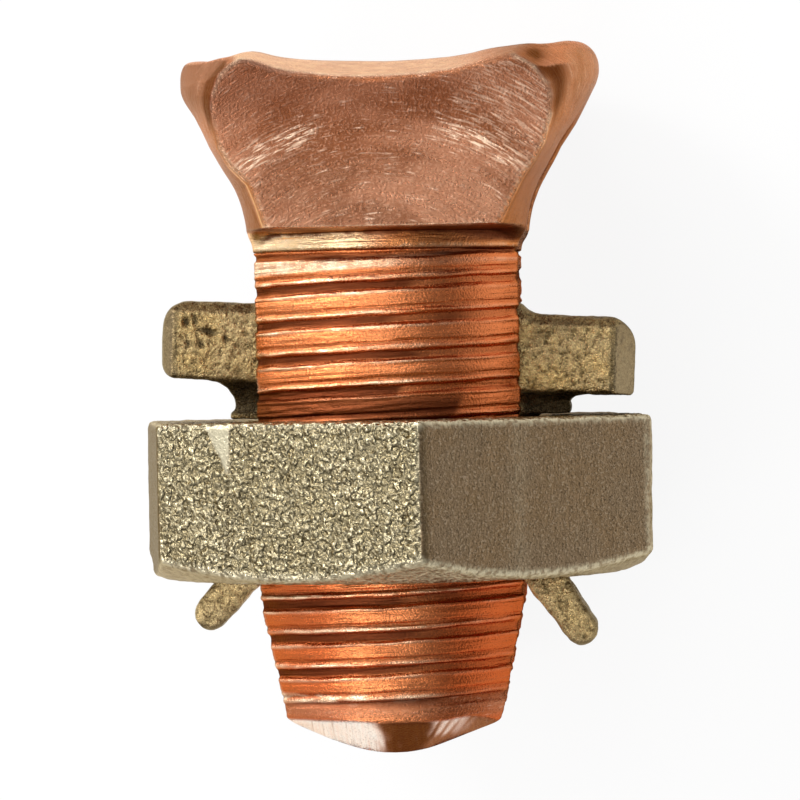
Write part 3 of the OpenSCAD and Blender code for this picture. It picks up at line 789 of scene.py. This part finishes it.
    # The first turn under the head carries a painted highlight, and a painted shadow belt lies above the
    # nut
    first = ease(z + 3.67 - PITCH * t / (2 * math.pi), -0.1, 0.12)
    first = whole(first * (1 - 0.8 * ease(to_right, -0.25, 0.3)) * ease(-z, 3.1, 3.2))
    crease = whole(groove)
    stain = peak(zz, -12.2, 0.85, 4) * whole(1 - ease(to_right + 0.25 * blot, 0.25, 0.5))
    worn = (0.4 + 0.6 * patchy) * crest * threaded * (1 - 0.85 * right) + corner * threaded + first
    worn = np.clip(worn, 0, 1) * (1 - stain)
    # Painted shade, redder and darker, on both sides of the leg below the nut and down its right side, and
    # a matte band with chips above the point
    fresh = whole(np.maximum(0.85 * ease(-to_right, 0.2, 0.5), ease(to_right, 0.1, 0.5)))
    fresh = np.maximum(fresh * ease(-zz, 19, 22.5), 0.4 * whole(ease(to_right, 0.15, 0.55)))
    band = peak(zz, -30.3, 0.75, 4) * outer * (1 - on_cone)
    chips = peak(zz, -29.75, 0.25, 4) * whole(ease(grain(0.45, 18), -0.1, 0.3)) * (1 - right)
    # root: the roots, darker in the groove under the head, with painted shade on the slot's face, in the
    # belt, in the right edge's notches and over the point outside its silvery parts
    root = dark + 0.35 * inner + 0.8 * crease + 0.9 * stain + 0.6 * notch
    root = root + (scorch + 0.35) * on_cone * (1 - bright)
    lay = np.where(
        outer[..., None] > 0.5,
        np.stack(np.broadcast_arrays(whole(helix), whole(along), 0 * zz + 30 * leg), -1),
        np.stack([ring_w, zz, 0 * zz + 60 + 30 * leg], -1),
    )
    lay = np.where(on_cone[..., None] > 0.5, np.stack([ring_w, zz, 0 * zz + 90], -1), lay)
    fields = {
        "flat": np.maximum(np.maximum(0.4 * inner, 0.65 * band), on_cone * (1 - bright)),
        "root": np.clip(root, 0, 1),
        "wear": np.clip(worn + chips, 0, 1),
        "gold": 0 * outer,
        "fresh": fresh,
        "score": 0 * outer,
        "tip": on_cone * bright,
    }
    fields = {k: np.append(v.ravel(), [v[0, 0], v[-1, 0]]) for k, v in fields.items()}
    lay = np.concatenate([lay.reshape(-1, 3), lay[0, :1], lay[-1, :1]])
    add_piece(name, points, faces, "bolt", "split_bolt", "copper", material, caps=caps, lay=lay, **fields)


# The nut: where each face points, and how coarse its grain is
FACE_TURN = [math.radians(7.5 + 60 * k) for k in range(6)]
FACE_GRAIN = [0.3, 0.9, 0.1, 0.15, 1.0, 0.0]
LEFT_FACE, FRONT_FACE, RIGHT_FACE = 3, 4, 5


def nut_bore(p):
    x, y, z = p[:, 0], p[:, 1], p[:, 2]
    thread = THREAD_R - DEPTH * thread_depth(root_phase(np.arctan2(y, x), z)) + PLAY
    top = TOP_SINK + (z - NUT_TOP)
    low = LOW_SINK - (z - NUT_LOW)
    return smax(smax(thread, top, 0.15), low, 0.4) - np.hypot(x, y)


def above_chamfer(p):
    """Height above the cone that cuts the nut's lower corners."""
    return p[:, 2] - NUT_LOW - (np.hypot(p[:, 0], p[:, 1]) - NUT_RING) * math.tan(NUT_SLOPE)


def nut_solid(p):
    x, y, z = p[:, 0], p[:, 1], p[:, 2]
    sides = None
    for a in FACE_TURN:
        d = x * math.cos(a) + y * math.sin(a) - NUT_HALF + 0.03
        sides = d if sides is None else smax(sides, d, 0.35)
    body = smax(sides, -above_chamfer(p) * math.cos(NUT_SLOPE), 0.35)
    body = smax(body, z - NUT_TOP + 0.04, 0.45)
    body = smax(body, NUT_LOW + 0.02 - z, 0.25)
    return smax(body, nut_bore(p), 0.2)


def make_nut(material):
    step = 0.183
    p, faces = surface(nut_solid, (-18, -18, -23.2), (18, 18, -12.2), step)
    n = outward(nut_solid, p)
    x, y, z = p[:, 0], p[:, 1], p[:, 2]
    edge = bulge(p, n, faces, step, 2)
    near = np.stack([x * math.cos(a) + y * math.sin(a) for a in FACE_TURN], 1)
    face = near.argmax(1)
    across = np.choose(face, [-x * math.sin(a) + y * math.cos(a) for a in FACE_TURN])
    outside = ease(near.max(1), NUT_HALF - 0.5, NUT_HALF - 0.15)
    level = np.abs(n[:, 2])
    upright = level < 0.5
    on_front = (face == FRONT_FACE) * outside * upright
    on_left, on_right = (face == LEFT_FACE) * upright, (face == RIGHT_FACE) * upright
    coarse = np.where(level > 0.7, 0.6, np.array(FACE_GRAIN)[face])
    # A smooth chip at the front face's upper edge, and the mould's parting line below it
    chip = np.minimum(across + 5.5 + (z - NUT_TOP) * 0.48, -3.65 - across + (z - NUT_TOP) * 0.06)
    patch = ease(chip, -0.05, 0.12) * on_front * ease(z, -16.2, -15.9)
    seam = peak(across + 0.12 * noise(p, 1.6, 31), -4.05, 0.09) * on_front * (1 - ease(z, -16.2, -15.6))
    # The lower chamfer is smoother, and paler as painted light
    chamfer = ease(-n[:, 2], 0.25, 0.45) * (1 - ease(-n[:, 2], 0.94, 0.98))
    chamfer = chamfer * ease(np.hypot(x, y), 14.0, 14.4)
    coarse = coarse * (1 - 0.9 * patch) * (1 - 0.6 * chamfer)
    # Inside the bore the nut is darker: painted shade
    inner = ease(-(near.max(1)), -13.0, -12.6) * (level < 0.6)
    rough = noise(p, 0.62, 21) * 0.6 + noise(p, 0.34, 22) * 0.4
    cast = (0.09 * rough - 0.05 * pits(p, 0.9, 23)) * coarse + 0.012 * noise(p, 0.5, 24)
    cast = cast * (1 - inner) - 0.035 - 0.05 * seam + 0.03 * patch
    cast = cast + 0.07 * noise(p, 2.8, 25) * ease(edge, 0.1, 0.7)
    # The upright faces are paler low down, just above the chamfer: painted light
    lower = (1 - ease(above_chamfer(p), 0.15, 0.6)) * outside * upright
    lower = lower * np.where(face == FRONT_FACE, 0.8, 0.4)
    # Upright lines on the right face: a painted shade line at its left edge, pale ones at its right edge
    # and middle
    behind = peak(across, 0.45 - NUT_CORNER, 0.22) * on_right
    border = peak(across, NUT_CORNER - 0.45, 0.2) * on_right
    streak = peak(across, -1.4, 0.6) * on_right
    p = p + n * np.minimum(cast, 0.02)[:, None]
    add_piece(
        "hex_nut_cast", p, faces, "nut", "hex_nut", "nut_bronze", material,
        lay=np.stack([across + 40 * face, z, 0 * z], 1),
        coarse=np.clip(coarse, 0, 1),
        patch=patch,
        # wear: worn edges and pale lines, with painted light on the chamfer and low on the faces
        wear=np.clip(ease(edge, 0.35, 0.9) + 0.6 * chamfer + 0.6 * border + 0.12 * streak + lower, 0, 1),
        # hollow: the mould's seam, with painted shade in the bore, behind the right face's corner and over
        # the left face
        hollow=np.clip(inner + 0.6 * seam + 0.7 * behind + 0.9 * on_left, 0, 1),
    )


# The pressure bar
def leaning(x, z):
    """The same direction in the bar's leaning frame."""
    c, s = math.cos(BAR_LEAN), math.sin(BAR_LEAN)
    return x * c - z * s, x * s + z * c


def bar_local(p):
    x, z = leaning(p[:, 0] - BAR_SHIFT, p[:, 2] - NUT_MID)
    return x, p[:, 1], z + NUT_MID


def bar_solid(p):
    x, y, z = bar_local(p)
    ax, ay = np.abs(x), np.abs(y)
    right = x > 0
    # Arms: flat faces, rounded ends, bevels along the upper and lower edges, and a facet on each end
    arm_mid, arm_half = (ARM_LOW + ARM_HIGH) / 2, (ARM_HIGH - ARM_LOW) / 2
    reach = np.where(right, 14.35, 14.85)
    r = np.where(z > arm_mid, np.where(right, 1.9, 1.65), np.where(right, 0.35, 1.05))
    u, v = ax - reach + r, np.abs(z - arm_mid) - arm_half + r
    arms = np.hypot(np.maximum(u, 0), np.maximum(v, 0)) + np.minimum(np.maximum(u, v), 0) - r
    thick = smax(ay - BAR_HALF, (0.6 * ay + z - ARM_HIGH - 0.6 * BAR_HALF + 0.62) * 0.857, 0.2)
    thick = smax(thick, (ay - z + ARM_LOW - BAR_HALF + 0.25) * 0.707, 0.2)
    end = np.where(right, 1.35, 0.75)
    plan = (ax - reach + end + (ay - BAR_HALF) * np.where(right, 1.0, 0.7)) * 0.75
    arms = smax(smax(arms, thick, 0.2), plan, 0.25)
    crown = smax(smax(ax - np.where(right, 7.1, 8.2), z + 5.6, 0.5), ay - 4.0, 0.4)
    crown = np.maximum(crown, -9.0 - z)
    # The collar stands back from the arms' faces
    collar = smax(smax(ax - 10.2, ay - 3.1, 0.5), z + 9.5, 0.3)
    foot = smax(smax(ax - 10.5, ay - 3.1, 0.5), p[:, 2] - NUT_TOP - 0.5, 0.2)
    collar = smin(collar, foot, 0.5)
    body = smin(smin(arms, crown, np.where(right, 1.5, 1.2)), collar, np.where(right, 1.1, 2.0))
    body = smax(body, ay - BAR_HALF, 0.05)
    body = smax(body, NUT_TOP + 0.05 - p[:, 2], 0.2)
    # The prongs run down through the bore and out under the nut, with round ends
    line = [(7.0, -10.9), (7.0, -19.0), (7.85, -20.8), (9.25, -22.7), (11.35, -25.45)]
    px = ax - np.where(right, 0.3, 0.0)
    prong = np.full(len(p), 9.0)
    for (x0, z0), (x1, z1) in zip(line, line[1:]):
        dx, dz = x1 - x0, z1 - z0
        t = np.clip(((px - x0) * dx + (z - z0) * dz) / (dx * dx + dz * dz), 0, 1)
        half = 1.17 - 0.12 * (z0 < NUT_LOW) * t
        prong = smin(prong, np.hypot(px - x0 - t * dx, z - z0 - t * dz) - half, 0.25)
    narrow = 2.5 - 0.35 * ease(-z, 22.5, 26.0)
    prong = smax(prong, ay - narrow, 0.7)
    return smin(body, prong, 0.5)


# Gouges in the left arm's front face: middle, half length, half width, tilt
GOUGES = [
    (-11.0, -7.3, 0.7, 0.2, -0.25), (-12.35, -6.7, 0.2, 0.35, 0.0), (-11.8, -6.6, 0.17, 0.4, 0.1),
    (-12.25, -8.0, 0.14, 0.25, 0.0), (-11.45, -8.1, 0.14, 0.28, 0.0), (-9.95, -7.75, 0.15, 0.25, 0.2),
]


def make_bar(material):
    step = 0.152
    p, faces = surface(bar_solid, (-16, -5.3, -28.216), (16.4, 5.3, -3.8), step)
    n = outward(bar_solid, p)
    edge = bulge(p, n, faces, step, 3)
    x, y, z = bar_local(p)
    ax, right = np.abs(x), x > 0
    nx, nz = leaning(n[:, 0], n[:, 2])
    out = np.sign(x) * nx
    arm = ease(z, -11.3, -11.0)
    prong = ease(-z, 22, 23)
    front = ease(-p[:, 1], 4.2, 4.5)
    # Painted shade on faces turned down near the collar and prongs, and on the arms' upper bevels
    low = ease(-nz, 0.25, 0.8) * ease(ax, 9.0, 10.0) * np.maximum(ease(z, -14, -13), prong)
    low = np.maximum(low, 0.8 * ease(nz, 0.25, 0.6) * arm)
    end = ease(out, 0.35, 0.6) * ease(ax, 12.0, 12.8) * arm
    line = peak(ax, np.where(right, 12.9, 13.9), 0.13) * ease(np.abs(y), 4.2, 4.5) * arm
    # Painted shade on the collar under the arms
    shade = (1 - ease(z, -11.2, -10.7)) * ease(z, -13.2, -12.9) * ease(ax, 7.0, 7.8)
    gouge = 0 * x
    for u0, v0, long, wide, tilt in GOUGES:
        u, v = p[:, 0] - u0, p[:, 2] - v0
        u, v = u * math.cos(tilt) + v * math.sin(tilt), v * math.cos(tilt) - u * math.sin(tilt)
        gouge = np.maximum(gouge, np.exp(-((u / long) ** 2 + (v / wide) ** 2) ** 2) * front)
    # A sleek spot on the left arm, and painted shade over its face, on the right arm's upper part and on
    # the ends
    sleek = peak(p[:, 0], -9.7, 0.75, 4) * peak(p[:, 2], -7.1, 0.6, 4) * front
    wedge = ease(p[:, 2] + 8.4 - 0.36 * (x - 8.5) + 0.2 * noise(p, 0.8, 45), -0.1, 0.3)
    wedge = wedge * front * ease(x, 7.5, 8.2) * (1 - ease(x, 11.5, 12.5))
    dusk = np.clip(0.5 * wedge + 0.42 * (x < -7) * arm + 0.3 * end * ease(z, -8.5, -6.5), 0, 1)
    # Painted shade on the prongs' outer sides and their ends
    outer = prong * ease(0.8 * out + 0.6 * nz, 0.2, 0.75) * np.where(right, 0.8, 0.5)
    outer = np.maximum(outer, 0.45 * prong * ease(-z, 25.4, 26.4))
    # Painted shade inside the nut's bore
    inner = ease(-z, 12.9, 13.6) * ease(z, -22.6, -21.8)
    rough = noise(p, 0.7, 41) * 0.6 + noise(p, 0.36, 42) * 0.4
    cast = (0.06 * rough - 0.09 * pits(p, 1.25, 43)) * (1 - 0.7 * end) * (1 - 0.8 * sleek)
    cast = cast - 0.2 * gouge - 0.03 + 0.03 * noise(p, 3.1, 44) - 0.05 * line
    # wear: worn edges, the sleek spot, and a painted highlight on the prongs
    wear = 0.7 * ease(edge, 0.2, 0.8) + 0.7 * sleek + prong * np.where(right, 0.5, 0.85)
    # hollow: gouges and the end's groove, with painted shade in creases, in the bore and on the collar
    hollow = 0.75 * inner + ease(-edge, 0.4, 1.0) + 0.8 * line + shade + 0.95 * gouge
    p = p + n * np.minimum(cast, 0.03)[:, None]
    add_piece(
        "pressure_bar_cast", p, faces, "bar", "pressure_bar", "bar_bronze", material,
        end=end,
        wear=np.clip(wear, 0, 1),
        under=np.clip(low + dusk + outer, 0, 1),
        hollow=np.clip(hollow, 0, 1),
    )


copper = copper_material()
make_head(copper)
make_leg("bolt_leg_front", 0, copper)
make_leg("bolt_leg_back", 1, copper)
make_nut(nut_material())
make_bar(bar_material())

# Floor, light and camera, in metres
WHITE = (1, 1, 1, 1)
FLOOR_HALF, FLOOR_GAP, FLOOR_GREY = 4.0, 0.00002, 0.86
LAMP_TARGET = (0, -0.0118, 0)
CAMERA_AIM, CAMERA_SHIFT, CAMERA_FAR = (0, -0.011775, 0), 0.000465, 0.282


def background_share(tree, seen, mirrored):
    """How much of the white background a ray shows: what the camera sees, and what metal and glass show."""
    path = tree.nodes.new("ShaderNodeLightPath")
    total = None
    shares = {"Is Camera Ray": seen, "Is Glossy Ray": mirrored, "Is Transmission Ray": mirrored}
    for output, part in shares.items():
        n = tree.nodes.new("ShaderNodeMath")
        n.operation = "MULTIPLY_ADD"
        tree.links.new(path.outputs[output], n.inputs[0])
        n.inputs[1].default_value = part
        n.inputs[2].default_value = 0.0
        if total is not None:
            tree.links.new(total, n.inputs[2])
        total = n.outputs[0]
    return total


def mixed(tree, share, first, second, out):
    """Puts a mix of two shaders on the tree's output."""
    mix = tree.nodes.new("ShaderNodeMixShader")
    tree.links.new(share, mix.inputs[0])
    tree.links.new(first.outputs[0], mix.inputs[1])
    tree.links.new(second.outputs[0], mix.inputs[2])
    tree.links.new(mix.outputs[0], out.inputs[0])


def floor():
    mesh = bpy.data.meshes.new("floor")
    w = FLOOR_HALF
    mesh.from_pydata([(-w, -w, 0), (w, -w, 0), (w, w, 0), (-w, w, 0)], [], [(0, 1, 2, 3)])
    o = bpy.data.objects.new("floor", mesh)
    o.location.z = FLOOR * MM - FLOOR_GAP
    bpy.context.scene.collection.objects.link(o)
    m = bpy.data.materials.new("floor_white")
    m.use_nodes = True
    t = m.node_tree
    t.nodes.clear()
    out = t.nodes.new("ShaderNodeOutputMaterial")
    matte = t.nodes.new("ShaderNodeBsdfDiffuse")
    matte.inputs["Color"].default_value = (FLOOR_GREY, FLOOR_GREY, FLOOR_GREY, 1)
    glow = t.nodes.new("ShaderNodeEmission")
    glow.inputs["Color"].default_value = WHITE
    glow.inputs["Strength"].default_value = 1.0
    mixed(t, background_share(t, 0.9, 0.3), matte, glow, out)
    mesh.materials.append(m)


def world():
    w = bpy.data.worlds.new("studio")
    bpy.context.scene.world = w
    w.use_nodes = True
    t = w.node_tree
    t.nodes.clear()
    out = t.nodes.new("ShaderNodeOutputWorld")
    # The light comes from above and the left, a little from the head's end
    coord = t.nodes.new("ShaderNodeTexCoord")
    dot = t.nodes.new("ShaderNodeVectorMath")
    dot.operation = "DOT_PRODUCT"
    t.links.new(coord.outputs["Generated"], dot.inputs[0])
    dot.inputs[1].default_value = Vector((-0.57, 0.25, 0.82)).normalized()
    ramp = t.nodes.new("ShaderNodeMapRange")
    ramp.interpolation_type = "SMOOTHSTEP"
    t.links.new(dot.outputs["Value"], ramp.inputs["Value"])
    for key, number in (("From Min", 0.0), ("From Max", 0.55), ("To Min", 0.0), ("To Max", 0.9)):
        ramp.inputs[key].default_value = number
    light = t.nodes.new("ShaderNodeBackground")
    light.inputs["Color"].default_value = WHITE
    t.links.new(ramp.outputs[0], light.inputs["Strength"])
    seen = t.nodes.new("ShaderNodeBackground")
    seen.inputs["Color"].default_value = WHITE
    mixed(t, background_share(t, 1.0, 0.25), light, seen, out)


def lamp(name, place, size, power):
    data = bpy.data.lights.new(name, "AREA")
    data.shape, data.size, data.size_y = "RECTANGLE", size[0], size[1]
    data.energy = power
    o = bpy.data.objects.new(name, data)
    o.location = place
    o.rotation_mode = "QUATERNION"
    o.rotation_quaternion = (Vector(LAMP_TARGET) - Vector(place)).to_track_quat("-Z", "Y")
    bpy.context.scene.collection.objects.link(o)


def camera():
    yaw, rise, roll = math.radians(25.1), math.radians(0.5), math.radians(1.15)
    d = Vector((math.sin(yaw) * math.cos(rise), math.sin(rise), math.cos(yaw) * math.cos(rise)))
    right = Vector((0, 1, 0)).cross(d).normalized()
    up = d.cross(right)
    rolled_right = right * math.cos(roll) - up * math.sin(roll)
    rolled_up = right * math.sin(roll) + up * math.cos(roll)
    target = Vector(CAMERA_AIM) + right * CAMERA_SHIFT
    data = bpy.data.cameras.new("camera")
    data.lens, data.sensor_width = 203.85, 36.0
    data.clip_start, data.clip_end = 0.01, 20.0
    o = bpy.data.objects.new("camera", data)
    spin = Matrix((rolled_right, rolled_up, d)).transposed().to_4x4()
    o.matrix_world = Matrix.Translation(target + d * CAMERA_FAR) @ spin
    bpy.context.scene.collection.objects.link(o)
    bpy.context.scene.camera = o


floor()
world()
lamp("key", (-0.33, 0.405, 0.54), (0.18, 0.27), 2.7)
lamp("left", (-0.50, 0.26, 0.12), (0.30, 0.14), 0.6)
lamp("front", (0.15, 0.36, 0.44), (0.22, 0.10), 0.35)
lamp("low_fill", (-0.02, -0.26, 0.45), (0.40, 0.08), 0.75)
camera()

bpy.context.scene.view_settings.view_transform = "Standard"
